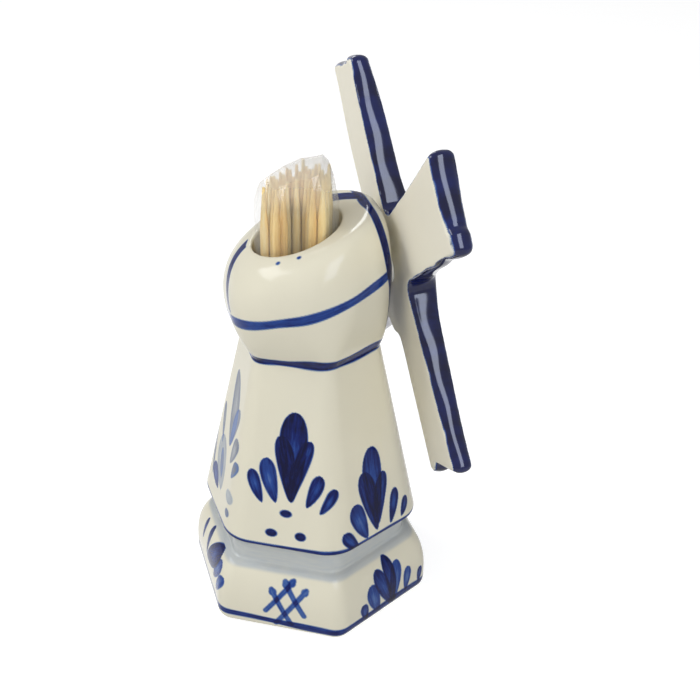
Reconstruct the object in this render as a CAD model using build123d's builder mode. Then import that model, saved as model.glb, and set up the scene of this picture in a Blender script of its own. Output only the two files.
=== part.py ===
"""Toothpick holder in the shape of a small ceramic windmill, with a sail cross that turns.

The holder stands on its foot at Z = 0, centred on the Z axis, with the sails on the -Y side.
Sizes are in millimetres and degrees. A hexagon is given by the distance from its centre to a
corner; two of its corners lie on the X axis and two of its flat sides face +Y and -Y.
"""

import os
from math import cos, hypot, radians, sin, sqrt, tan

from build123d import *

os.makedirs("parts", exist_ok=True)

# Toothpicks in their film bag
pick_length = 65.0
pick_radius = 0.95
pick_tip_length = 9.0
pick_tip_radius = 0.28
pick_pitch = 2.1
pick_rise = 3.8
pick_unevenness = 0.5
pack_waist = 0.95
slack_turn = 165.0
slack_width = 5.0
slack_reach = 1.0
pack_twist = 5.0
bag_radius = 8.9
film_thickness = 0.15
film_gap = 0.3
bag_headroom = 4.6
bag_slope = 16.0
bag_edge = 3.0
bag_vent = 0.6

# Well for the bag, open at the crown
well_gap = 0.8
well_back = 3.0
well_depth = 56.4
mouth_flare = 0.3
mouth_lip = 0.8

# Plinth: a hexagonal foot with bulging sides, under a narrow groove
plinth_overhang = 3.1
plinth_stretch = 0.6
plinth_rounding = 4.2
plinth_straight = 5.4
plinth_height = 16.2
foot_edge = 2.6
groove_height = 5.7
groove_depth = 2.2
groove_rounding = 5.5
groove_step = 0.4

# Tower: a tapered hexagon whose lower edge overhangs the groove
skirt_corner = 26.4
skirt_stretch = 1.5
skirt_rounding = 9.0
skirt_edge = 0.9
tower_height = 44.1
neck_wall = 1.9
neck_rounding = 4.3

# Cap: hexagonal at the neck, round at the crown, and leaning back as it rises. Each section
# has its rise above the last one, its swell beyond the neck, its shift back and its lean.
flare_rise = 5.2
flare_swell = 2.4
flare_back = 0.3
flare_rounding = 7.5
flare_lean = 5.0
belt_rise = 8.6
belt_swell = 4.7
belt_back = 0.6
belt_rounding = 14.0
belt_lean = 15.6
shoulder_rise = 6.8
shoulder_swell = 4.5
shoulder_back = 0.9
shoulder_rounding = 14.5
shoulder_lean = 18.0
brow_rise = 4.3
brow_swell = 2.5
brow_back = 0.8
brow_rounding = 14.5
brow_lean = 19.5
crown_rise = 2.1
crown_swell = -1.6
crown_back = 0.6
crown_rounding = 12.6
crown_lean = 20.0
fullest_rounding = 0.96

# Closed hollow left by casting, with its vent in the foot
wall = 4.2
hollow_draft = 5.0
hollow_rounding = 3.0
vent_radius = 1.8
vent_back = 9.0

# Axle, square to the front of the cap, and what turns on it
axle_lift = 6.4
axle_rise = 15.2
gable_wall = 9.8
boss_radius = 4.6
boss_length = 0.85
washer_radius = 3.9
washer_thickness = 0.8
washer_edge = 0.1
axle_radius = 1.25
axle_bite = 5.2
head_radius = 3.2
head_height = 1.6
head_edge = 1.3
running_gap = 0.08
cement_gap = 0.03
end_float = 0.15

# Sail cross: four equal blades, each with a spar side and a lattice side
blade_count = 4
sail_thickness = 4.3
sail_turn = 36.4
spar_reach = 46.9
spar_root = 6.3
spar_tip = 8.4
spar_foot = 3.4
lattice_reach = 48.4
lattice_root = 9.3
lattice_tip = 10.8
notch_depth = 1.5
notch_width = 1.4
hub_fillet = 3.4
tip_fillet = 0.9
sail_edge = 0.6

# Places worked out from the sizes above
flat_share = cos(radians(30))
well_radius = bag_radius + well_gap
mouth_radius = well_radius + mouth_flare
groove_corner = skirt_corner - groove_depth
plinth_corner = skirt_corner + plinth_overhang
neck_corner = (well_radius + well_back + neck_wall) / flat_share
skirt_height = plinth_height + groove_height
neck_height = skirt_height + tower_height
flare_height = neck_height + flare_rise
belt_height = flare_height + belt_rise
shoulder_height = belt_height + shoulder_rise
brow_height = shoulder_height + brow_rise
crown_height = brow_height + crown_rise
well_floor = crown_height - well_depth
hollow_height = well_floor - wall
gable_forward = well_radius - well_back + gable_wall
gable = Plane(
    origin=(0, -gable_forward, neck_height + axle_rise),
    x_dir=(1, 0, 0),
    z_dir=(0, -cos(radians(axle_lift)), sin(radians(axle_lift))),
)
axle_axis = Axis(gable.origin, gable.z_dir)
rear_washer_start = boss_length + end_float
sail_back = rear_washer_start + washer_thickness + end_float
sail_front = sail_back + sail_thickness
head_washer_start = sail_front + end_float
head_start = head_washer_start + washer_thickness
bag_floor = well_floor + film_gap
pick_floor = bag_floor + film_thickness + film_gap
bag_top = pick_floor + pick_length + bag_headroom
bundle_radius = bag_radius - film_thickness - film_gap - pick_radius


def leaning_plane(height, back, lean):
    """A level plane tipped back about X, with its origin above the Y axis."""
    tip = radians(lean)
    return Plane(origin=(0, back, height), x_dir=(1, 0, 0), z_dir=(0, sin(tip), cos(tip)))


def hexagon(plane, corner, rounding, stretch=0.0):
    """A hexagon with rounded corners. A stretch draws out the two corners of one diagonal."""
    reaches = (corner, corner + stretch, corner) * 2
    places = [(reach * cos(radians(60 * i)), reach * sin(radians(60 * i))) for i, reach in enumerate(reaches)]
    with BuildSketch(plane) as outline:
        Polygon(*places, align=None)
        fillet(outline.vertices(), min(rounding, corner * flat_share * fullest_rounding))
    return outline.sketch


def plinth_section(height):
    """The plinth at a height: straight at first, then drawn in along a quarter ellipse."""
    rise = max(0.0, height - plinth_straight) / (plinth_height - plinth_straight)
    bulge = sqrt(1 - rise**2)
    top_corner = groove_corner + groove_step
    corner = top_corner + (plinth_corner - top_corner) * bulge
    rounding = groove_rounding + (plinth_rounding - groove_rounding) * bulge
    return hexagon(Plane.XY.offset(height), corner, rounding, plinth_stretch * bulge)


def tower_corner(height):
    """Corner distance of the tower's outside at a height."""
    share = (height - skirt_height) / (neck_height - skirt_height)
    return skirt_corner + (neck_corner - skirt_corner) * share


def cap_section(height, swell, rounding, back, lean):
    """A section of the cap: so much larger than the neck, shifted back and leaning."""
    return hexagon(leaning_plane(height, back, lean), neck_corner + swell, rounding)


plinth_levels = [0.0, plinth_straight]
plinth_levels += [plinth_straight + (plinth_height - plinth_straight) * share for share in (0.45, 0.75, 0.92, 1.0)]

with BuildPart() as plinth:
    loft(sections=[plinth_section(height) for height in plinth_levels])
    fillet(plinth.edges().group_by(Axis.Z)[0], foot_edge)

with BuildPart() as tower:
    loft(
        sections=[
            hexagon(Plane.XY.offset(skirt_height), skirt_corner, skirt_rounding, skirt_stretch),
            hexagon(Plane.XY.offset(neck_height), neck_corner, neck_rounding),
        ],
        ruled=True,
    )
    fillet(tower.edges().group_by(Axis.Z)[0], skirt_edge)

with BuildPart() as cap:
    loft(
        sections=[
            hexagon(Plane.XY.offset(neck_height), neck_corner, neck_rounding),
            cap_section(flare_height, flare_swell, flare_rounding, flare_back, flare_lean),
            cap_section(belt_height, belt_swell, belt_rounding, belt_back, belt_lean),
            cap_section(shoulder_height, shoulder_swell, shoulder_rounding, shoulder_back, shoulder_lean),
            cap_section(brow_height, brow_swell, brow_rounding, brow_back, brow_lean),
            cap_section(crown_height, crown_swell, crown_rounding, crown_back, crown_lean),
        ]
    )
    split(bisect_by=gable, keep=Keep.BOTTOM)


with BuildPart() as mill_body:
    add(plinth.part)
    extrude(hexagon(Plane.XY.offset(wall), groove_corner, groove_rounding), amount=skirt_height)
    add(tower.part)
    add(cap.part)
    with BuildSketch(gable.offset(-wall / 2)):
        Circle(boss_radius)
    extrude(amount=boss_length + wall / 2)
    # the well, then the hollow under it and the vent that lets the kiln gas out
    with BuildSketch(Plane.XY.offset(well_floor)):
        with Locations((0, well_back)):
            Circle(well_radius)
    extrude(amount=crown_height, mode=Mode.SUBTRACT)
    mouth_drop = (well_back - crown_back) * tan(radians(crown_lean))
    mouth = leaning_plane(crown_height - mouth_drop, well_back, crown_lean)
    with BuildSketch(Plane(origin=mouth.origin, x_dir=mouth.x_dir, z_dir=-mouth.y_dir)):
        with BuildLine():
            lip = CenterArc((mouth_radius + mouth_lip, -mouth_lip), mouth_lip, 90, 90)
            Polyline(lip @ 1, (0, -mouth_lip), (0, mouth_lip), ((lip @ 0).X, mouth_lip), lip @ 0)
        make_face()
    revolve(axis=Axis(mouth.origin, mouth.z_dir), mode=Mode.SUBTRACT)
    hollow_top = tower_corner(hollow_height) - wall / flat_share
    hollow_foot = hollow_top + (hollow_height - wall) * tan(radians(hollow_draft)) / 2
    loft(
        sections=[
            hexagon(Plane.XY.offset(wall), hollow_foot, hollow_rounding),
            hexagon(Plane.XY.offset(hollow_height), hollow_top, hollow_rounding),
        ],
        mode=Mode.SUBTRACT,
    )
    with BuildSketch(Plane.XY):
        with Locations((0, vent_back)):
            Circle(vent_radius)
    extrude(amount=wall * 2, mode=Mode.SUBTRACT)
    # the blind hole that holds the axle
    with BuildSketch(gable.offset(-axle_bite)):
        Circle(axle_radius + cement_gap)
    extrude(amount=axle_bite + boss_length, mode=Mode.SUBTRACT)
mill_body.part.label = "mill_body"
export_step(mill_body.part, "parts/mill_body.step")


def turned_ring(start, inner, outer, length):
    """A plain ring round the axle, starting at a distance in front of the cap."""
    with BuildPart() as ring:
        with BuildSketch(gable.offset(start)):
            Circle(outer)
            Circle(inner, mode=Mode.SUBTRACT)
        extrude(amount=length)
        chamfer(ring.edges(), washer_edge)
    return ring.part


rear_washer = turned_ring(rear_washer_start, axle_radius + running_gap, washer_radius, washer_thickness)
rear_washer.label = "rear_washer"
export_step(rear_washer, "parts/rear_washer.step")

head_washer = turned_ring(head_washer_start, axle_radius + running_gap, washer_radius, washer_thickness)
head_washer.label = "head_washer"
export_step(head_washer, "parts/head_washer.step")

# Axle pin: a straight shank cemented into the cap, under a domed head
pin_end = cement_gap - axle_bite
with BuildPart() as axle_pin:
    with BuildSketch(gable.offset(pin_end)):
        Circle(axle_radius)
    extrude(amount=head_start - pin_end + head_height / 2)
    with BuildSketch(gable.offset(head_start)):
        Circle(head_radius)
    extrude(amount=head_height)
    fillet(axle_pin.edges().sort_by(axle_axis)[-1], head_edge)
axle_pin.part.label = "axle_pin"
export_step(axle_pin.part, "parts/axle_pin.step")


def blade_point(index, reach, side):
    """A point of the cross: so far out along a blade, and so far towards its spar side."""
    angle = radians(180 - sail_turn + index * 360 / blade_count)
    return (reach * cos(angle) - side * sin(angle), reach * sin(angle) + side * cos(angle))


def cross_outline():
    """The outline of all blades, with a shallow notch in each tip beside the spar."""
    points = []
    for index in range(blade_count):
        points += [
            blade_point(index, lattice_reach, -lattice_tip),
            blade_point(index, spar_reach - notch_depth, spar_tip - spar_foot - notch_width),
            blade_point(index, spar_reach, spar_tip - spar_foot),
            blade_point(index, spar_reach, spar_tip),
            blade_point(index, lattice_root, spar_root),
        ]
    return points


def is_at_tip(corner):
    """Whether a corner of the cross lies in the outer half of a blade."""
    return hypot(corner.X, corner.Y) > spar_reach / 2


with BuildPart() as sail_cross:
    with BuildSketch(gable.offset(sail_back)) as cross_sketch:
        with BuildLine():
            Polyline(*cross_outline(), close=True)
        make_face()
        fillet(cross_sketch.vertices().sort_by_distance((0, 0))[:blade_count], hub_fillet)
        fillet(cross_sketch.vertices().filter_by(is_at_tip), tip_fillet)
    extrude(amount=sail_thickness)
    fillet(sail_cross.faces().filter_by(axle_axis).edges(), sail_edge)
    with BuildSketch(gable.offset(sail_back)):
        Circle(axle_radius + running_gap)
    extrude(amount=sail_thickness, mode=Mode.SUBTRACT)
sail_cross.part.label = "sail_cross"
export_step(sail_cross.part, "parts/sail_cross.step")


def pick_places():
    """Centres of the toothpicks: a close triangular pattern with a slack place on one side."""
    turn = radians(slack_turn)
    places = []
    rows = int(bundle_radius / (pick_pitch * sin(radians(60)))) + 1
    columns = int(bundle_radius / pick_pitch) + 1
    for row in range(-rows, rows + 1):
        for column in range(-columns, columns + 1):
            x = (column + 0.5 * (row % 2)) * pick_pitch
            y = row * pick_pitch * sin(radians(60))
            along = x * cos(turn) + y * sin(turn)
            across = y * cos(turn) - x * sin(turn)
            slack = along > slack_reach and abs(across) < slack_width / 2
            if hypot(x, y) <= bundle_radius and not slack:
                places.append((x, y))
    return places


def pick_line(x, y):
    """Foot and top of one toothpick: the bundle is narrower at the foot, and twists."""
    front_share = (1 - y / bundle_radius) / 2
    lift = pick_rise * front_share**1.5 + pick_unevenness * sin(5 * x + 3 * y)
    foot = Vector(x * pack_waist, y * pack_waist + well_back, pick_floor + max(0.0, lift))
    top = Vector(x, y, 0).rotate(Axis.Z, pack_twist)
    return foot, Vector(top.X, top.Y + well_back, foot.Z + pick_length)


def toothpick(x, y):
    """A round pick, pointed at both ends."""
    foot, top = pick_line(x, y)
    lean = Plane(origin=foot, x_dir=(1, 0, 0), z_dir=(top - foot).normalized())
    tip_end = pick_length - pick_tip_length
    with BuildPart() as pick:
        with BuildSketch(Plane(origin=foot, x_dir=lean.x_dir, z_dir=-lean.y_dir)):
            with BuildLine():
                Polyline(
                    (0, 0),
                    (pick_tip_radius, 0),
                    (pick_radius, pick_tip_length),
                    (pick_radius, tip_end),
                    (pick_tip_radius, pick_length),
                    (0, pick_length),
                    close=True,
                )
            make_face()
        revolve(axis=Axis(foot, lean.z_dir))
    return pick.part


for number, place in enumerate(pick_places(), start=1):
    pick = toothpick(*place)
    pick.label = f"toothpick_{number:02d}"
    export_step(pick, f"parts/toothpick_{number:02d}.step")


def bag_form(inset):
    """The bag as a solid, drawn in by an inset: upright, with a slanting top."""
    slant = radians(bag_slope)
    top_plane = Plane(
        origin=(0, 0, bag_top - inset),
        x_dir=(1, 0, 0),
        z_dir=(0, sin(slant), cos(slant)),
    )
    with BuildPart() as form:
        with BuildSketch(Plane.XY.offset(bag_floor + inset)):
            with Locations((0, well_back)):
                Circle(bag_radius - inset)
        extrude(amount=bag_top)
        split(bisect_by=top_plane, keep=Keep.BOTTOM)
        fillet(form.faces().sort_by(Axis.Z)[-1].edges(), bag_edge - inset)
    return form.part


with BuildPart() as film_bag:
    add(bag_form(0))
    add(bag_form(film_thickness), mode=Mode.SUBTRACT)
    with BuildSketch(Plane.XY.offset(bag_floor - film_thickness)):
        with Locations((0, well_back)):
            Circle(bag_vent)
    extrude(amount=film_thickness * 3, mode=Mode.SUBTRACT)
film_bag.part.label = "film_bag"
export_step(film_bag.part, "parts/film_bag.step")
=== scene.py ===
"""Looks of the windmill toothpick holder: glaze, brushwork, wood, film, light and camera.

Shapes and paint are in millimetres and become metres where they reach Blender. Lamps, the floor
and the places that materials read are in metres. The holder's frame has +Z up, its foot at Z = 0
and its sails on the -Y side. A face of the hexagonal body is named by the direction that it looks
in, in degrees from +X; a place on it is (across, height), where across grows to the right for
someone who looks at that face.
"""

from math import cos, pi, radians, sin

import bpy
import numpy as np
from mathutils import Matrix, Vector


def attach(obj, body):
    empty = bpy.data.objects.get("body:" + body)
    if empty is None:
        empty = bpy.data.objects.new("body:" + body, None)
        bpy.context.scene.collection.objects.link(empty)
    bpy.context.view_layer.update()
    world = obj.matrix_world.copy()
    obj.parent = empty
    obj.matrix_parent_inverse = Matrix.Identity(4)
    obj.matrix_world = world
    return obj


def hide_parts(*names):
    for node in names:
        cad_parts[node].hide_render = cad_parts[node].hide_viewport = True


MM = 0.001
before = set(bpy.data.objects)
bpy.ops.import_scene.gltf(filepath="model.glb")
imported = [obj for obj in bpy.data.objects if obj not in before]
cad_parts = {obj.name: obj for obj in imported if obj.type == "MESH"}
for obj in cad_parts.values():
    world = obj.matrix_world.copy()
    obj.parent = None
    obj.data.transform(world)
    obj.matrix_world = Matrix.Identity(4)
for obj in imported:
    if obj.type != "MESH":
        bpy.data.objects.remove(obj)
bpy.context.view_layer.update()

# Camera, fitted to the photograph
CAMERA_PLACE = (-218.25, 56.28, 184.18)
CAMERA_YAW = 343.2
CAMERA_DIP = 28.4
CAMERA_ROLL = 1.32
CAMERA_LENS = 57.62

# The room: the direction of its brighter side, its least and greatest glow, and its glow where
# it is seen
BRIGHT_SIDE = 110
ROOM_GLOW = (0.26, 0.56)
SEEN_GLOW = 0.8

# The floor: half its width in metres, its tone, and its glow where it is seen
FLOOR_HALF = 1.5
FLOOR_TONE = 0.62
FLOOR_GLOW = 0.7

# Height of the place that every lamp faces, in metres
LAMP_AIM = 0.06

# Heights and places of the ceramic body that the paint follows
PLINTH_TOP = 16.2
SKIRT_HEIGHT = 21.9
NECK_HEIGHT = 66.0
WELL_BACK = 3.0
WELL_SIDE = 11.0
GABLE_FORWARD = 16.5

# The axle: its height at the gable, its lift in degrees, and its directions forward and upright
AXLE_HEIGHT = 81.2
AXLE_LIFT = 6.4
FORWARD = np.array([0, -cos(radians(AXLE_LIFT)), sin(radians(AXLE_LIFT))])
UPRIGHT = np.array([0, sin(radians(AXLE_LIFT)), cos(radians(AXLE_LIFT))])

# The sail cross: its turn in degrees, its thickness, and its middle's distance from the gable
SAIL_TURN = 36.4
SAIL_THICKNESS = 4.3
SAIL_MIDDLE = 4.1
BLADE_COUNT = 4
BLADE_REACH = 46

# Places on a blade, along it and across it towards its spar
SPAR_END = (44.6, 6.4)
SPAR_NECK = (38.0, 8.0)
LATTICE_END = (46.0, -8.0)

# Blades by number: those that point towards the camera, down and up
NEAR_BLADE = 0
LOW_BLADE = 1
TOP_BLADE = 3

# Where blades differ from each other: a place on a blade, how far round it the difference
# reaches, and how far the ware lies beyond the even shape, along the blade and across it
HAND_SHAPED = (
    (TOP_BLADE, (48.4, -10.8), 12.0, 2.3, 2.7),
    (TOP_BLADE, (45.4, 3.0), 3.5, 1.3, 0.0),
    (TOP_BLADE, (46.9, 8.4), 6.0, -1.4, 0.0),
    (NEAR_BLADE, (45.4, 3.0), 3.0, 0.9, 0.0),
    (LOW_BLADE, (9.3, 6.3), 4.5, 3.3, 3.3),
)

# Faces of the body, by the direction that they look in
LEFT_FACE = 150
RIGHT_FACE = 210
BACK_FACE = 90
FAR_FACES = (30, 330, 270)

# The brush: the width in which pigment pools at an edge, how far outside a stroke its edge is
# still worked out, a petal's width at its tip as a share of its greatest, the radius that turns
# round the body are measured at, and the shift of one stroke's streaks from the last one's
POOL_WIDTH = 0.35
BRUSH_MARGIN = 1
BLUNT_TIP = 0.1
TURN_RADIUS = 20
STREAK_SHIFT = 7.3

# Petals of the motifs: head, tip, half width and shade, then the bend and the widest place along
# the stroke where they aren't the usual ones. Dots: middle, half width and half height, then the
# shade where it isn't the usual one. Bars: head, tip and half width.

# The tower's main motif: a leaf of three strokes between four leaves, over three dots
LEAF_PETALS = (
    ((1.5, 55.4), (1.5, 34.4), 3.2, 0.92, -0.2),
    ((-1.6, 49.6), (1.2, 34.5), 2.1, 0.9, 0.3),
    ((5.3, 49.2), (2.0, 35.7), 1.7, 0.8, -0.4),
    ((-4.9, 43.9), (-2.2, 33.7), 1.9, 0.72, -0.2),
    ((-8.2, 40.7), (-5.4, 33.2), 1.45, 0.78, -0.2),
    ((8.0, 41.4), (5.2, 33.6), 1.5, 0.84, 0.2),
    ((11.3, 38.2), (8.4, 32.4), 1.2, 0.82, 0.3),
)
LEAF_DOTS = (
    ((0.4, 31.2), 1.35, 0.85),
    ((-2.8, 26.0), 1.35, 0.9),
    ((4.1, 26.1), 1.25, 1.0),
)

# The lower motif beside it: a broad leaf with leaves to each side
CORNER_PETALS = (
    ((1.3, 44.4), (0.5, 25.6), 2.9, 0.8, -0.3),
    ((-2.2, 39.2), (0.2, 24.2), 2.5, 0.82, 0.3),
    ((4.2, 37.2), (0.9, 25.4), 1.8, 0.76, -0.4),
    ((-5.9, 32.6), (-3.1, 23.4), 2.2, 0.74, -0.2),
    ((-9.6, 26.9), (-6.0, 21.8), 1.5, 0.8, -0.2),
    ((7.2, 31.7), (4.6, 23.8), 1.3, 0.84, 0.2),
    ((10.4, 28.2), (8.2, 24.0), 1.1, 0.84, 0.2),
)

# Tall thin leaves and a pale bud, on the face beyond the left edge of the view
BACK_PETALS = (
    ((-1.4, 58.5), (2.0, 40.8), 3.0, 0.29, 1.0, 0.55),
    ((5.2, 51.5), (2.4, 41.0), 1.9, 0.29, -0.4),
    ((-6.6, 47.5), (-3.7, 38.4), 1.0, 0.31),
    ((-10.0, 41.0), (-6.5, 28.0), 0.9, 0.32),
    ((-3.4, 40.5), (1.6, 28.6), 3.6, 0.2, -0.6, 0.45),
    ((-2.4, 37.5), (0.4, 31.0), 1.2, 0.26, 0.0, 0.5),
    ((7.6, 45.2), (4.7, 37.8), 1.8, 0.28),
    ((9.4, 40.2), (7.3, 35.4), 1.3, 0.36),
    ((-6.5, 31.0), (-0.6, 27.6), 1.9, 0.72),
)
BACK_DOTS = (
    ((8.2, 30.7), 2.2, 1.6, 0.16),
    ((8.8, 26.8), 1.2, 1.0, 0.3),
)

# The plinth's leaf motif, the one beyond the left edge of the view, and its crossed strokes
FOOT_PETALS = (
    ((1.8, 15.4), (3.5, 1.8), 1.7, 0.86, 0.2),
    ((-1.8, 13.4), (3.3, 1.8), 1.9, 0.8, -0.3),
    ((5.2, 13.0), (3.7, 1.8), 1.9, 0.62, -0.3),
    ((-4.0, 10.6), (-1.4, 2.2), 1.9, 0.66, -0.3),
    ((-6.8, 6.8), (-5.5, 1.8), 1.2, 0.78),
    ((8.7, 9.6), (7.9, 3.0), 1.25, 0.66),
    ((13.1, 7.3), (12.6, 3.0), 0.85, 0.8),
)
BACK_FOOT_PETALS = (
    ((8.6, 15.2), (-0.5, 8.0), 2.9, 0.86, 0.4, 0.4),
    ((-6.3, 14.6), (-6.6, 9.0), 0.7, 0.8),
    ((-1.7, 15.4), (-1.3, 8.3), 0.95, 0.8),
    ((11.3, 14.0), (7.2, 8.0), 1.8, 0.66),
    ((13.8, 11.8), (10.4, 6.5), 1.4, 0.6),
)
LATTICE_BARS = (
    ((-2.1, 11.7), (2.8, 3.0), 0.62),
    ((1.0, 13.9), (5.9, 6.1), 0.62),
    ((3.0, 14.3), (-3.4, 5.8), 0.56),
    ((6.2, 12.7), (-0.9, 2.6), 0.58),
)

# Places of stray specks of cobalt on the cap, and their radius
SPECKS = ((-10.7, 9.6, 89.4), (-12.6, 5.6, 91.1))
SPECK_RADIUS = 0.45

# Colours of the plain ware, of the same ware painted lighter on the sails as painted light, and of
# cobalt by its density
IVORY = (0.740, 0.700, 0.560)
LIT_SAIL_IVORY = (0.865, 0.820, 0.680)
BLUES = (
    (0.14, (0.450, 0.485, 0.505)),
    (0.28, (0.185, 0.202, 0.240)),
    (0.42, (0.090, 0.175, 0.400)),
    (0.6, (0.018, 0.060, 0.270)),
    (0.8, (0.004, 0.012, 0.115)),
    (1.0, (0.002, 0.003, 0.035)),
)

# Colours of the toothpicks' grain from dark to light, and the direction of the bundle's front, the
# side that the picks' painted shade lightens towards
WOODS = ((0.3, (0.66, 0.39, 0.11)), (0.5, (0.90, 0.65, 0.25)), (0.72, (0.97, 0.82, 0.43)))
PICKS_PAINTED_LIGHT_FRONT = (-0.966, 0.259, 0.0)

# The film: its mesh, its radius, floor and shoulder, the turn of its seam in degrees, the depth
# of its wrinkles outwards and upwards, and its top edge as (side, height) along the seam
FILM_COLUMNS = 34
FILM_ROWS = 22
FILM_RADIUS = 9.15
FILM_FLOOR = 37.2
FILM_SHOULDER = 6.0
FILM_SEAM_TURN = -106.8
FILM_WRINKLE = 0.32
FILM_RIPPLE = 0.25
FILM_TOP = (
    (-9.3, 98.0),
    (-8.2, 102.2),
    (-6.3, 103.7),
    (-3.1, 106.1),
    (0.2, 107.9),
    (5.9, 109.0),
    (7.4, 106.5),
    (9.0, 99.0),
)


def smooth_step(value):
    """0 below 0, 1 above 1, and a smooth rise between."""
    value = np.clip(value, 0, 1)
    return value * value * (3 - 2 * value)


# ---------------------------------------------------------------- meshes


def link(name, mesh):
    """A new object with that mesh, in the scene."""
    piece = bpy.data.objects.new(name, mesh)
    bpy.context.scene.collection.objects.link(piece)
    return piece


def softened_copy(node, voxel, rounds):
    """A finely and evenly meshed copy of a CAD node, its edges softened as glaze softens them."""
    rough = link(f"{node}_rough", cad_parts[node].data.copy())
    remesh = rough.modifiers.new("remesh", "REMESH")
    remesh.mode = "VOXEL"
    remesh.voxel_size = voxel * MM
    soften = rough.modifiers.new("soften", "SMOOTH")
    soften.factor = 0.5
    soften.iterations = rounds
    graph = bpy.context.evaluated_depsgraph_get()
    mesh = bpy.data.meshes.new_from_object(rough.evaluated_get(graph))
    bpy.data.objects.remove(rough)
    mesh.materials.clear()
    mesh.polygons.foreach_set("use_smooth", np.ones(len(mesh.polygons), bool))
    return link(f"{node}_glazed", mesh)


def places_and_normals(piece):
    """The vertices of a piece in millimetres, and their normals."""
    mesh = piece.data
    places = np.empty(len(mesh.vertices) * 3)
    mesh.vertices.foreach_get("co", places)
    normals = np.empty(len(mesh.vertices) * 3)
    mesh.vertices.foreach_get("normal", normals)
    return places.reshape(-1, 3) / MM, normals.reshape(-1, 3)


# ---------------------------------------------------------------- brushwork


class Paint:
    """Pigment on a mesh: its density, and for streaks its place along and across its stroke."""

    def __init__(self, piece):
        self.piece = piece
        self.places, self.normals = places_and_normals(piece)
        self.density = np.zeros(len(self.places))
        self.brush = self.places.copy()
        self.strokes = 0

    def lay(self, where, inside, along, across, shade, edge=0.42, pooling=0.25):
        """Lays pigment on the chosen vertices.

        inside is the distance to the stroke's edge, edge the width in which the stroke fades
        there, and pooling how much denser it is beside it.
        """
        self.strokes += 1
        cover = smooth_step(inside / edge + 0.5)
        pooled = 1 + pooling * np.exp(-np.maximum(inside, 0) / POOL_WIDTH)
        laid = np.clip(shade * pooled, 0, 1) * cover
        self.density[where] = 1 - (1 - self.density[where]) * (1 - laid)
        chosen = cover > 0.05
        steps = np.full(chosen.sum(), self.strokes * STREAK_SHIFT)
        self.brush[where[chosen]] = np.stack([along[chosen], across[chosen], steps], 1)

    def face(self, direction):
        """Vertices that look roughly in a direction, with their places across and up that face."""
        angle = radians(direction)
        facing = self.normals[:, 0] * cos(angle) + self.normals[:, 1] * sin(angle)
        where = np.nonzero(facing > 0.55)[0]
        across = -self.places[where, 0] * sin(angle) + self.places[where, 1] * cos(angle)
        return where, across, self.places[where, 2]

    def stroke(self, direction, head, tip):
        """Vertices of a face, their places along a stroke and beside it, and its length."""
        where, across, height = self.face(direction)
        run = np.array(tip) - np.array(head)
        length = np.hypot(*run)
        ahead = run / length
        x, z = across - head[0], height - head[1]
        return where, x * ahead[0] + z * ahead[1], x * -ahead[1] + z * ahead[0], length

    def petal(self, direction, head, tip, half_width, shade, bend=0.0, widest=0.3):
        """A stroke with a round head that narrows to a blunt tip, paler along its middle."""
        where, along, side, length = self.stroke(direction, head, tip)
        share = along / length
        inner = np.clip(share, 0, 1)
        side = side - bend * 4 * inner * (1 - inner)
        swell = np.sqrt(np.clip(1 - ((widest - inner) / widest) ** 2, 0, 1))
        taper = np.clip(np.cos(pi / 2 * (inner - widest) / (1 - widest)), 0, 1) ** 0.75
        profile = np.where(inner < widest, swell, BLUNT_TIP + (1 - BLUNT_TIP) * taper)
        beyond = np.maximum(np.maximum(-share, share - 1), 0) * length
        inside = half_width * profile - np.abs(side) - beyond
        light = np.exp(-(((inner - 0.45) / 0.25) ** 2) - (side / (half_width * 0.55)) ** 2)
        lightened = shade * (1 - 0.25 * light)
        near = inside > -BRUSH_MARGIN
        self.lay(where[near], inside[near], share[near] * length, side[near], lightened[near])

    def bar(self, direction, head, tip, half_width, shade=0.52):
        """A straight stroke of even width with round ends and a drop where the brush set down."""
        where, along, side, length = self.stroke(direction, head, tip)
        beyond = along - np.clip(along, 0, length)
        inside = np.maximum(
            half_width - np.hypot(side, beyond),
            half_width * 1.5 - np.hypot(side, along - half_width),
        )
        near = inside > -BRUSH_MARGIN
        self.lay(where[near], inside[near], along[near], side[near], shade)

    def dot(self, direction, middle, wide, tall, shade=0.85):
        """A dab of the brush."""
        where, across, height = self.face(direction)
        x, z = across - middle[0], height - middle[1]
        reach = np.hypot(x / wide, z / tall)
        inside = (1 - reach) * min(wide, tall)
        near = inside > -BRUSH_MARGIN
        self.lay(where[near], inside[near], x[near], z[near], shade)

    def line(self, offset, half_width, shade, allowed):
        """A painted line along the allowed places whose offset from it is small."""
        turn = np.arctan2(self.places[:, 1], self.places[:, 0])
        wander = 0.10 * np.sin(turn * 4 + half_width * 40) + 0.05 * np.sin(turn * 9 + 1)
        inside = half_width * (1 + 0.10 * np.sin(turn * 7)) - np.abs(offset + wander)
        near = np.nonzero(allowed & (inside > -BRUSH_MARGIN))[0]
        along = turn[near] * TURN_RADIUS
        self.lay(near, inside[near], along, offset[near], shade, edge=0.4, pooling=0.15)

    def wash(self, inside, shade):
        """Thin pigment over an area, given by the distance inside its edge."""
        near = np.nonzero(inside > -BRUSH_MARGIN)[0]
        along = np.arctan2(self.places[near, 1], self.places[near, 0]) * TURN_RADIUS
        self.lay(near, inside[near], along, self.places[near, 2], shade, edge=0.8, pooling=0.0)

    def motif(self, direction, petals, dots=(), across=0.0, drop=0.0):
        """Petals and dots on one face, moved across it and down."""
        shift = np.array((across, -drop))
        for head, tip, *look in petals:
            self.petal(direction, head + shift, tip + shift, *look)
        for middle, *look in dots:
            self.dot(direction, middle + shift, *look)

    def lattice(self, direction):
        """The plinth's crossed strokes."""
        for head, tip, half_width in LATTICE_BARS:
            self.bar(direction, head, tip, half_width)

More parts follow.
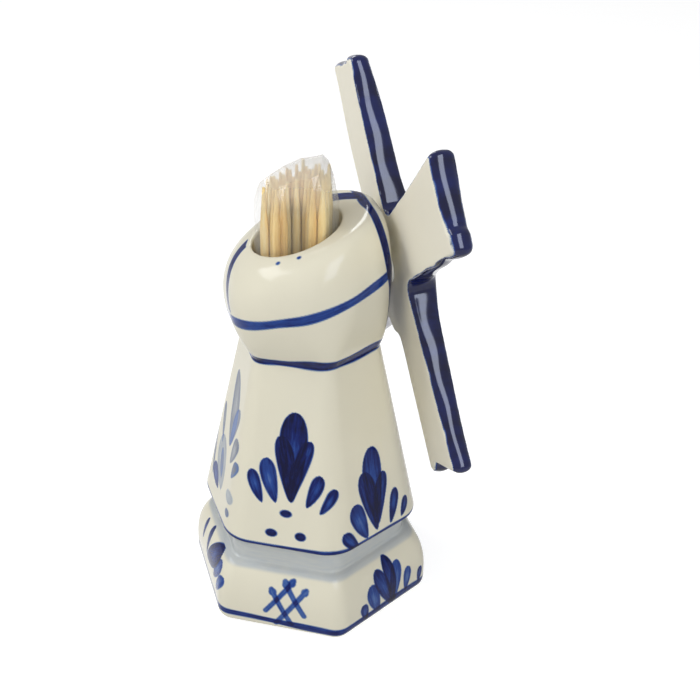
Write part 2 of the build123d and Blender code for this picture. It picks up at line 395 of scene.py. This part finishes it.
    def keep(self):
        """Writes the paint to the mesh, for its material to read."""
        attributes = self.piece.data.attributes
        pigment = attributes.new("pigment", "FLOAT", "POINT")
        pigment.data.foreach_set("value", self.density)
        brush = attributes.new("brush", "FLOAT_VECTOR", "POINT")
        brush.data.foreach_set("vector", self.brush.ravel())


def paint_lines(paint):
    """The wash in the groove, the lines round the body, and those over its cap."""
    x, y, z = paint.places.T
    outside = np.hypot(x, y - WELL_BACK) > WELL_SIDE
    on_cap = outside & (z > NECK_HEIGHT + 2)
    # the lines grow broader towards the face on the right
    toward_right = smooth_step((-x * 0.5 - y * 0.866 + 2) / 8)
    # behind the gable plane, measured square to it
    lift = radians(AXLE_LIFT)
    behind_gable = (y + GABLE_FORWARD) * cos(lift) - (z - AXLE_HEIGHT) * sin(lift)

    paint.wash(np.minimum(z - PLINTH_TOP + 0.9, SKIRT_HEIGHT + 0.2 - z), 0.11)
    foot = z - 2.4 - 0.2 * toward_right - 0.04 * np.maximum(y, 0)
    paint.line(foot / (1 + 0.3 * toward_right), 0.68, 0.76, outside)
    paint.line(z - SKIRT_HEIGHT - 0.4, 0.90, 0.76, outside)
    neck = z - NECK_HEIGHT - 0.3 - 0.5 * toward_right
    paint.line(neck / (1 + 0.5 * toward_right), 0.78, 0.84, outside)

    band = (z - 79.2 + 0.289 * y + 0.110 * x) / 1.047
    paint.line(band, 1.0, 0.66, on_cap & (behind_gable > 0.2))
    rim = 0.6 + 0.13 * np.maximum(z - AXLE_HEIGHT, 0) + 0.14 * np.maximum(77 - z, 0)
    by_gable = outside & (z > NECK_HEIGHT + 1) & (behind_gable > -0.1)
    paint.line(behind_gable - rim - 0.1, 0.92, 0.84, by_gable)
    spur = (x - 3.4 - 0.9 * (y + 11.5)) / 1.35
    paint.line(spur, 1.5, 0.84, on_cap & (y > -11.7) & (y < -6.0) & (x < 10))
    ridge = x - 3.8 + 0.55 * (88 - z)
    paint.line(ridge / 1.14, 1.15, 0.8, on_cap & (y > 8) & (z > 76))


def paint_motifs(paint):
    """The motifs on the faces of the tower, then those on the plinth, then the stray specks."""
    paint.motif(LEFT_FACE, LEAF_PETALS, LEAF_DOTS)
    paint.motif(RIGHT_FACE, CORNER_PETALS, across=-0.6)
    paint.motif(BACK_FACE, BACK_PETALS, BACK_DOTS)
    for face in FAR_FACES:
        paint.motif(face, LEAF_PETALS, LEAF_DOTS, across=-0.8, drop=3.0)

    paint.lattice(LEFT_FACE)
    paint.motif(RIGHT_FACE, FOOT_PETALS, across=-0.4)
    paint.motif(BACK_FACE, BACK_FOOT_PETALS)
    paint.motif(FAR_FACES[0], FOOT_PETALS)
    paint.lattice(FAR_FACES[1])
    paint.motif(FAR_FACES[2], FOOT_PETALS)

    for speck in SPECKS:
        reach = np.sqrt(((paint.places - np.array(speck)) ** 2).sum(1))
        near = np.nonzero(reach < 2)[0]
        x, y = paint.places[near, 0], paint.places[near, 1]
        paint.lay(near, SPECK_RADIUS - reach[near], x, y, 0.55)


def paint_sails(piece):
    """Blue on every edge of the sail cross."""
    paint = Paint(piece)
    blades = Blades(paint.places)
    edge = 0.80 - np.abs(paint.normals @ FORWARD)
    wander = 0.03 * np.sin(blades.sideways * 0.9) + 0.03 * np.sin(blades.upright * 1.1 + 2)
    inside = (edge + wander) * 2.2
    everywhere = np.arange(len(inside))
    along, across = blades.upright * 0.3, blades.sideways * 0.1
    paint.lay(everywhere, inside + 0.08, along, across, 0.14, edge=0.4, pooling=0.0)
    paint.lay(everywhere, inside, along, across, 0.92, edge=0.5, pooling=0.0)
    paint.keep()


# ---------------------------------------------------------------- sail cross


class Blades:
    """Places on the sail cross: to the side, upright, and forward from the gable."""

    def __init__(self, places):
        lift = radians(AXLE_LIFT)
        offset = places - np.array([0, -GABLE_FORWARD, AXLE_HEIGHT])
        self.sideways = offset[:, 0]
        self.upright = offset[:, 1] * sin(lift) + offset[:, 2] * cos(lift)
        self.forward = -offset[:, 1] * cos(lift) + offset[:, 2] * sin(lift)
        self.reach = np.hypot(self.sideways, self.upright)

    def directions(self, index):
        """The direction along one blade, and the one across it towards its spar."""
        angle = radians(180 - SAIL_TURN + index * 90)
        return np.array([cos(angle), sin(angle)]), np.array([-sin(angle), cos(angle)])

    def near(self, index, along, across, spread):
        """1 at a place of one blade, and 0 far from it."""
        ahead, aside = self.directions(index)
        middle = along * ahead + across * aside
        away = np.hypot(self.sideways - middle[0], self.upright - middle[1])
        return np.exp(-((away / spread) ** 2))


def edge_swell(blades, off_middle):
    """How far the narrow edges of the cross lie outside the even shape."""
    towards_tip = smooth_step(blades.reach / BLADE_REACH)
    swell = (0.22 + 0.50 * towards_tip) * (1 - off_middle**2) - 0.10 - 0.14 * towards_tip
    sideways, upright = blades.sideways, blades.upright
    swell += 0.13 * np.sin(sideways * 0.31 + 0.8) * np.sin(upright * 0.27 + 0.3)
    swell += 0.10 * off_middle * np.sin(sideways * 0.40 + upright * 0.33 + 1)
    for index in range(BLADE_COUNT):
        swell += 0.35 * blades.near(index, *SPAR_END, 3.4)
        swell -= 0.45 * blades.near(index, *SPAR_NECK, 3.0)
    return swell


def face_shift(blades, off_middle, facing):
    """How far forward the broad faces of the cross lie from the even shape."""
    # the front is domed towards the hub, but flat where the washer lies
    dome = 1.5 * (1 - smooth_step((blades.reach - 9) / 38))
    dome += 1.2 * np.exp(-(((blades.reach - 10) / 5) ** 2))
    dome += (
        0.9 * blades.near(TOP_BLADE, 36.0, 6.0, 14.0)
        - 1.1 * blades.near(NEAR_BLADE, 28.0, 6.0, 12.0)
    )
    dome *= smooth_step((blades.reach - 4.5) / 4)
    shift = dome * smooth_step((off_middle + 1) / 2)
    # one lattice side is thicker than the even shape, and another thinner
    shift += 0.45 * blades.near(NEAR_BLADE, *LATTICE_END, 11.0) * off_middle
    shift -= 0.5 * blades.near(TOP_BLADE, 48.0, -6.0, 16.0) * off_middle
    # the flat faces lose the faint steps that the remesh leaves
    level = SAIL_MIDDLE + np.sign(facing) * SAIL_THICKNESS / 2 - blades.forward
    shift += np.clip(level, -0.2, 0.2) * smooth_step((np.abs(facing) - 0.93) / 0.06)
    return shift


def plump_sails(piece):
    """Gives the sail cross the swollen edges, blunt spar ends and uneven blades of cast ware."""
    places, normals = places_and_normals(piece)
    blades = Blades(places)
    facing = normals @ FORWARD
    outward = normals - facing[:, None] * FORWARD
    outward /= np.maximum(np.linalg.norm(outward, axis=1), 0.05)[:, None]
    off_middle = np.clip((blades.forward - SAIL_MIDDLE) / (SAIL_THICKNESS / 2), -1, 1)
    on_edge = smooth_step((0.9 - np.abs(facing)) / 0.4)
    moved = outward * (edge_swell(blades, off_middle) * on_edge)[:, None]
    moved += face_shift(blades, off_middle, facing)[:, None] * FORWARD
    for index, place, spread, along, across in HAND_SHAPED:
        ahead, aside = blades.directions(index)
        strength = blades.near(index, *place, spread)[:, None]
        shift = (along * ahead + across * aside)[None, :] * strength
        moved[:, 0] += shift[:, 0]
        moved += shift[:, 1:] * UPRIGHT
    places += moved
    piece.data.vertices.foreach_set("co", (places * MM).ravel())
    piece.data.update()


# ---------------------------------------------------------------- materials


class Nodes:
    """A short way to write the nodes of a material or of the world."""

    def __init__(self, owner):
        owner.use_nodes = True
        self.tree = owner.node_tree

    def add(self, kind, values=None, **settings):
        """A node, with its settings and the values or links of its inputs."""
        node = self.tree.nodes.new(f"ShaderNode{kind}")
        for key, value in settings.items():
            setattr(node, key, value)
        for key, value in (values or {}).items():
            self.feed(node.inputs[key], value)
        return node

    def feed(self, socket, value):
        """Links an output to an input, or sets the input's value."""
        if isinstance(value, bpy.types.NodeSocket):
            self.tree.links.new(value, socket)
        else:
            socket.default_value = value

    def math(self, operation, first, second, clamp=False):
        """A sum, product or the like of two numbers."""
        node = self.add("Math", {0: first, 1: second}, operation=operation, use_clamp=clamp)
        return node.outputs[0]

    def map_range(self, value, low, high, to_low, to_high):
        """A value from one range, moved to another and kept inside it."""
        return self.add("MapRange", {0: value, 1: low, 2: high, 3: to_low, 4: to_high}).outputs[0]

    def dot(self, first, second):
        """The dot product of two vectors."""
        node = self.add("VectorMath", {0: first, 1: second}, operation="DOT_PRODUCT")
        return node.outputs["Value"]

    def seen(self):
        """1 for rays from the camera, by way of mirrors or clear things, and 0 for all others."""
        rays = self.add("LightPath").outputs
        direct = self.math("MAXIMUM", rays["Is Camera Ray"], rays["Is Glossy Ray"])
        return self.math("MAXIMUM", direct, rays["Is Transmission Ray"])

    def place(self):
        """Where a point lies in its own object, in metres."""
        return self.add("TexCoord").outputs["Object"]

    def height(self, place):
        """How high a place lies."""
        return self.add("SeparateXYZ", {0: place}).outputs["Z"]

    def stretched(self, place, scale):
        """A place with its axes scaled."""
        return self.add("Mapping", {"Vector": place, "Scale": scale}).outputs["Vector"]

    def noise(self, place, scale, detail, rough):
        """Smooth noise from 0 to 1."""
        values = {"Vector": place, "Scale": scale, "Detail": detail, "Roughness": rough}
        return self.add("TexNoise", values).outputs["Fac"]

    def ramp(self, factor, stops):
        """Colours along a factor, as (place, colour) pairs."""
        node = self.add("ValToRGB", {"Fac": factor})
        while len(node.color_ramp.elements) < len(stops):
            node.color_ramp.elements.new(0.5)
        for element, (place, colour) in zip(node.color_ramp.elements, stops):
            element.position = place
            element.color = (*colour, 1)
        return node.outputs["Color"]

    def product(self, first, second):
        """The product of two colours."""
        node = self.add("Mix", {"Factor": 1.0}, data_type="RGBA", blend_type="MULTIPLY")
        self.feed(node.inputs[6], first)
        self.feed(node.inputs[7], second)
        return node.outputs[2]

    def bump(self, height, strength, distance):
        """A normal that follows a height; distance is in metres."""
        values = {"Height": height, "Strength": strength, "Distance": distance}
        return self.add("Bump", values).outputs["Normal"]


class Finish(Nodes):
    """The nodes of a new material, round its surface shader."""

    def __init__(self, name):
        self.material = bpy.data.materials.new(name)
        super().__init__(self.material)
        self.shader = self.tree.nodes["Principled BSDF"]
        self.output = self.tree.nodes["Material Output"]

    def surface(self, **values):
        """Sets inputs of the surface shader, by name."""
        for key, value in values.items():
            self.feed(self.shader.inputs[key.replace("_", " ")], value)


def glaze(name, ware, painted_roughness, plain_roughness, shine):
    """Glaze over pale ware, with cobalt under it where the mesh says so."""
    nodes = Finish(name)
    place = nodes.place()
    pigment = nodes.add("Attribute", attribute_name="pigment").outputs["Fac"]
    brush = nodes.add("Attribute", attribute_name="brush").outputs["Vector"]
    streaks = nodes.noise(nodes.stretched(brush, (0.22, 1.7, 1.0)), 1.0, 4.0, 0.6)
    clouds = nodes.noise(place, 420.0, 3.0, 0.5)
    uneven = nodes.math(
        "ADD",
        nodes.math("MULTIPLY", nodes.math("SUBTRACT", streaks, 0.5), 0.75),
        nodes.math("MULTIPLY", nodes.math("SUBTRACT", clouds, 0.5), 0.2),
    )
    density = nodes.math("MULTIPLY", pigment, nodes.math("ADD", 1.0, uneven), clamp=True)
    colour = nodes.ramp(density, ((0.0, ware),) + BLUES)
    tints = ((0.3, (0.97, 0.97, 0.97)), (0.7, (1.0, 0.995, 0.985)))
    tint = nodes.ramp(nodes.noise(place, 45.0, 2.0, 0.5), tints)
    ripple = nodes.bump(nodes.noise(place, 260.0, 2.0, 0.4), 0.05, 0.0002)
    roughness = nodes.map_range(pigment, 0.0, 0.5, plain_roughness, painted_roughness)
    nodes.surface(Base_Color=nodes.product(colour, tint), Roughness=roughness, Normal=ripple)
    nodes.surface(Specular_IOR_Level=shine)
    return nodes.material


def pick_wood():
    """Pale birch with fine grain, each pick a little different, with painted shade deep in the
    bundle.
    """
    nodes = Finish("pick_wood")
    place = nodes.place()
    drawn_out = nodes.stretched(place, (1.0, 1.0, 0.035))
    grain = nodes.noise(drawn_out, 2600.0, 4.0, 0.6)
    each = nodes.noise(drawn_out, 480.0, 0.0, 0.5)
    blend = nodes.math(
        "ADD", nodes.math("MULTIPLY", grain, 0.55), nodes.math("MULTIPLY", each, 0.55)
    )
    # painted shade: picks deeper in the bundle, away from its front, are darker; painted light
    # keeps the tips pale all round
    painted_light_front = nodes.map_range(nodes.dot(place, PICKS_PAINTED_LIGHT_FRONT), 0.0005, 0.0050, 0.60, 1.0)
    unshaded_tips = nodes.map_range(nodes.height(place), 0.092, 0.099, 0.0, 1.0)
    greys = ((0.0, (0.0, 0.0, 0.0)), (1.0, (1.0, 1.0, 1.0)))
    shade = nodes.ramp(nodes.math("MAXIMUM", painted_light_front, unshaded_tips), greys)
    # the grain's colour, darkened by the painted shade
    nodes.surface(Base_Color=nodes.product(nodes.ramp(blend, WOODS), shade))
    nodes.surface(Roughness=0.55, Normal=nodes.bump(grain, 0.25, 0.0001))
    return nodes.material


def clear_film():
    """Thin clear film: see-through, hazier where it is gathered and where it is seen edge on."""
    nodes = Finish("clear_film")
    place = nodes.place()
    ripple = nodes.bump(nodes.noise(place, 180.0, 3.0, 0.5), 0.3, 0.0008)
    nodes.surface(Base_Color=(0.77, 0.76, 0.72, 1), Roughness=0.12, Normal=ripple)
    nodes.surface(Specular_IOR_Level=0.6)
    gathered = nodes.map_range(nodes.height(place), 0.098, 0.106, 0.07, 0.38)
    edge_on = nodes.add("LayerWeight", {"Blend": 0.4}).outputs["Facing"]
    haze = nodes.math("ADD", nodes.math("MULTIPLY", edge_on, 0.22), gathered)
    clear = nodes.add("BsdfTransparent").outputs[0]
    mixed = nodes.add("MixShader", {0: haze, 1: clear, 2: nodes.shader.outputs[0]})
    nodes.feed(nodes.output.inputs["Surface"], mixed.outputs[0])
    return nodes.material


def plain_material(name, colour, roughness, metallic=0.0):
    """A small part's finish, with a little unevenness in it."""
    nodes = Finish(name)
    patches = nodes.noise(nodes.place(), 300.0, 3.0, 0.5)
    darker = tuple(part * 0.8 for part in colour)
    nodes.surface(Base_Color=nodes.ramp(patches, ((0.35, darker), (0.65, colour))))
    nodes.surface(Roughness=roughness, Metallic=metallic)
    return nodes.material


def finish(piece, material):
    """Gives a piece one material."""
    piece.data.materials.clear()
    piece.data.materials.append(material)


# ---------------------------------------------------------------- pieces


def make_body():
    """The glazed and painted ceramic body."""
    piece = softened_copy("mill_body", 0.27, 8)
    paint = Paint(piece)
    paint_lines(paint)
    paint_motifs(paint)
    paint.keep()
    finish(piece, glaze("body_glaze", IVORY, 0.05, 0.05, 0.13))
    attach(piece, "mill")
    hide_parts("mill_body")


def make_sails():
    """The glazed and painted sail cross."""
    piece = softened_copy("sail_cross", 0.28, 14)
    plump_sails(piece)
    paint_sails(piece)
    # the sails' ivory is the body's ware painted lighter: painted light on the sail cross
    finish(piece, glaze("sail_glaze", LIT_SAIL_IVORY, 0.11, 0.5, 0.38))
    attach(piece, "sails")
    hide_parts("sail_cross")


def film_points():
    """Places of the film's vertices in metres, ring above ring."""
    crumple = np.random.default_rng(7).uniform(-1, 1, (FILM_ROWS + 1, FILM_COLUMNS))
    seam_side, seam_height = np.array(FILM_TOP).T
    seam_turn = radians(FILM_SEAM_TURN)
    points = []
    for row in range(FILM_ROWS + 1):
        # the lower part lies close to the picks
        loose = 0.3 + 0.7 * (row > FILM_ROWS * 0.45)
        for column in range(FILM_COLUMNS):
            angle = 2 * pi * (column + 0.5 * (row % 2)) / FILM_COLUMNS
            side, depth = FILM_RADIUS * cos(angle), FILM_RADIUS * sin(angle)
            top = np.interp(side, seam_side, seam_height)
            height = FILM_FLOOR + (top - FILM_FLOOR) * (row / FILM_ROWS) ** 0.8
            pinch = np.sqrt(np.clip((top - height) / FILM_SHOULDER, 0.004, 1))
            give = FILM_WRINKLE * crumple[row, column] * loose
            side += give * cos(angle) * pinch
            depth = (depth + give * sin(angle)) * pinch
            points.append((
                (side * cos(seam_turn) - depth * sin(seam_turn)) * MM,
                (side * sin(seam_turn) + depth * cos(seam_turn) + WELL_BACK) * MM,
                (height + FILM_RIPPLE * crumple[row, column - 1]) * MM,
            ))
    return points


def film_sides():
    """The triangles between the film's rings, and its flat bottom."""
    sides = []
    for row in range(FILM_ROWS):
        low, high = row * FILM_COLUMNS, (row + 1) * FILM_COLUMNS
        for column in range(FILM_COLUMNS):
            after = (column + 1) % FILM_COLUMNS
            if row % 2:
                sides.append((low + column, low + after, high + after))
                sides.append((low + column, high + after, high + column))
            else:
                sides.append((low + column, low + after, high + column))
                sides.append((low + after, high + after, high + column))
    sides.append(tuple(range(FILM_COLUMNS - 1, -1, -1)))
    return sides


def make_film():
    """The crumpled film around the toothpicks, pinched along a sloping seam at its top."""
    mesh = bpy.data.meshes.new("film")
    mesh.from_pydata(film_points(), [], film_sides())
    piece = link("film_wrap", mesh)
    finish(piece, clear_film())
    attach(piece, "pack")
    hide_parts("film_bag")


def dress_small_parts():
    """Materials of the CAD nodes that show as they are."""
    wood = pick_wood()
    for name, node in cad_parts.items():
        if name.startswith("toothpick_"):
            finish(node, wood)
    pin_metal = plain_material("pin_metal", (0.78, 0.62, 0.32), 0.28, 1.0)
    finish(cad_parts["axle_pin"], pin_metal)
    washer_plastic = plain_material("washer_plastic", (0.80, 0.79, 0.74), 0.5)
    finish(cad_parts["rear_washer"], washer_plastic)
    finish(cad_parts["head_washer"], washer_plastic)


# ---------------------------------------------------------------- light and camera


def make_camera():
    """The photograph's camera."""
    yaw, dip, roll = radians(CAMERA_YAW), radians(CAMERA_DIP), radians(CAMERA_ROLL)
    ahead = Vector((cos(yaw) * cos(dip), sin(yaw) * cos(dip), -sin(dip)))
    level = Vector((sin(yaw), -cos(yaw), 0))
    upright = level.cross(ahead)
    right = level * cos(roll) + upright * sin(roll)
    up = upright * cos(roll) - level * sin(roll)
    camera = bpy.data.cameras.new("camera")
    camera.lens = CAMERA_LENS
    camera.clip_start = 0.01
    holder = bpy.data.objects.new("camera", camera)
    turned = Matrix((right, up, -ahead)).transposed().to_4x4()
    holder.matrix_world = Matrix.Translation(Vector(CAMERA_PLACE) * MM) @ turned
    bpy.context.scene.collection.objects.link(holder)
    bpy.context.scene.camera = holder


def softbox(
    name,
    turn,
    rise,
    distance,
    wide,
    tall,
    glow,
    lights_ware=True,
    mirrored=True,
    tint=(0.95, 0.97, 1.0),
):
    """A rectangular lamp of an even glow that faces the holder, from a direction in degrees."""
    lamp = bpy.data.lights.new(name, "AREA")
    lamp.shape = "RECTANGLE"
    lamp.size, lamp.size_y = wide, tall
    lamp.energy = glow * pi * wide * tall
    lamp.color = tint
    holder = bpy.data.objects.new(name, lamp)
    holder.visible_diffuse = lights_ware
    holder.visible_glossy = mirrored
    turn, rise = radians(turn), radians(rise)
    outward = Vector((cos(turn) * cos(rise), sin(turn) * cos(rise), sin(rise)))
    facing = outward.to_track_quat("Z", "Y").to_matrix().to_4x4()
    holder.matrix_world = Matrix.Translation(Vector((0, 0, LAMP_AIM)) + outward * distance) @ facing
    bpy.context.scene.collection.objects.link(holder)


def make_lights():
    """A fill without a reflection, and lamps whose reflections lie where the photograph's do."""
    softbox("front_fill", 176, 26, 0.75, 0.36, 0.62, 4.1, mirrored=False)
    softbox("front_box", -176, 40, 0.75, 0.30, 0.62, 9.5, lights_ware=False, tint=(0.76, 0.83, 1.0))
    softbox("left_box", 68, 40, 0.75, 0.50, 0.20, 8.5)
    softbox("far_box", 5, 38, 0.8, 0.26, 0.17, 9.0, lights_ware=False)


def make_room():
    """A pale room, brighter towards one side and from below."""
    world = bpy.data.worlds.new("room")
    bpy.context.scene.world = world
    nodes = Nodes(world)
    turn = radians(BRIGHT_SIDE)
    direction = nodes.add("TexCoord").outputs["Generated"]
    brightness = nodes.dot(direction, (cos(turn), sin(turn), -0.5))
    strength = nodes.map_range(brightness, -1, 1, *ROOM_GLOW)
    seen = nodes.math("MULTIPLY", nodes.seen(), SEEN_GLOW)
    back = nodes.tree.nodes["Background"]
    nodes.feed(back.inputs["Strength"], nodes.math("MAXIMUM", seen, strength))
    nodes.feed(back.inputs["Color"], (1, 1, 1, 1))
    bpy.context.scene.view_settings.view_transform = "Standard"


def make_floor():
    """A plain floor that glows where it is seen, so that it looks white."""
    half = FLOOR_HALF
    mesh = bpy.data.meshes.new("floor")
    corners = [(-half, -half, 0), (half, -half, 0), (half, half, 0), (-half, half, 0)]
    mesh.from_pydata(corners, [], [(0, 1, 2, 3)])
    piece = link("floor", mesh)
    nodes = Finish("floor_white")
    nodes.surface(Base_Color=(FLOOR_TONE, FLOOR_TONE, FLOOR_TONE, 1), Roughness=0.9)
    nodes.surface(Specular_IOR_Level=0.0, Emission_Color=(1, 1, 1, 1))
    nodes.surface(Emission_Strength=nodes.math("MULTIPLY", nodes.seen(), FLOOR_GLOW))
    finish(piece, nodes.material)


make_camera()
make_lights()
make_room()
make_floor()
make_body()
make_sails()
make_film()
dress_small_parts()
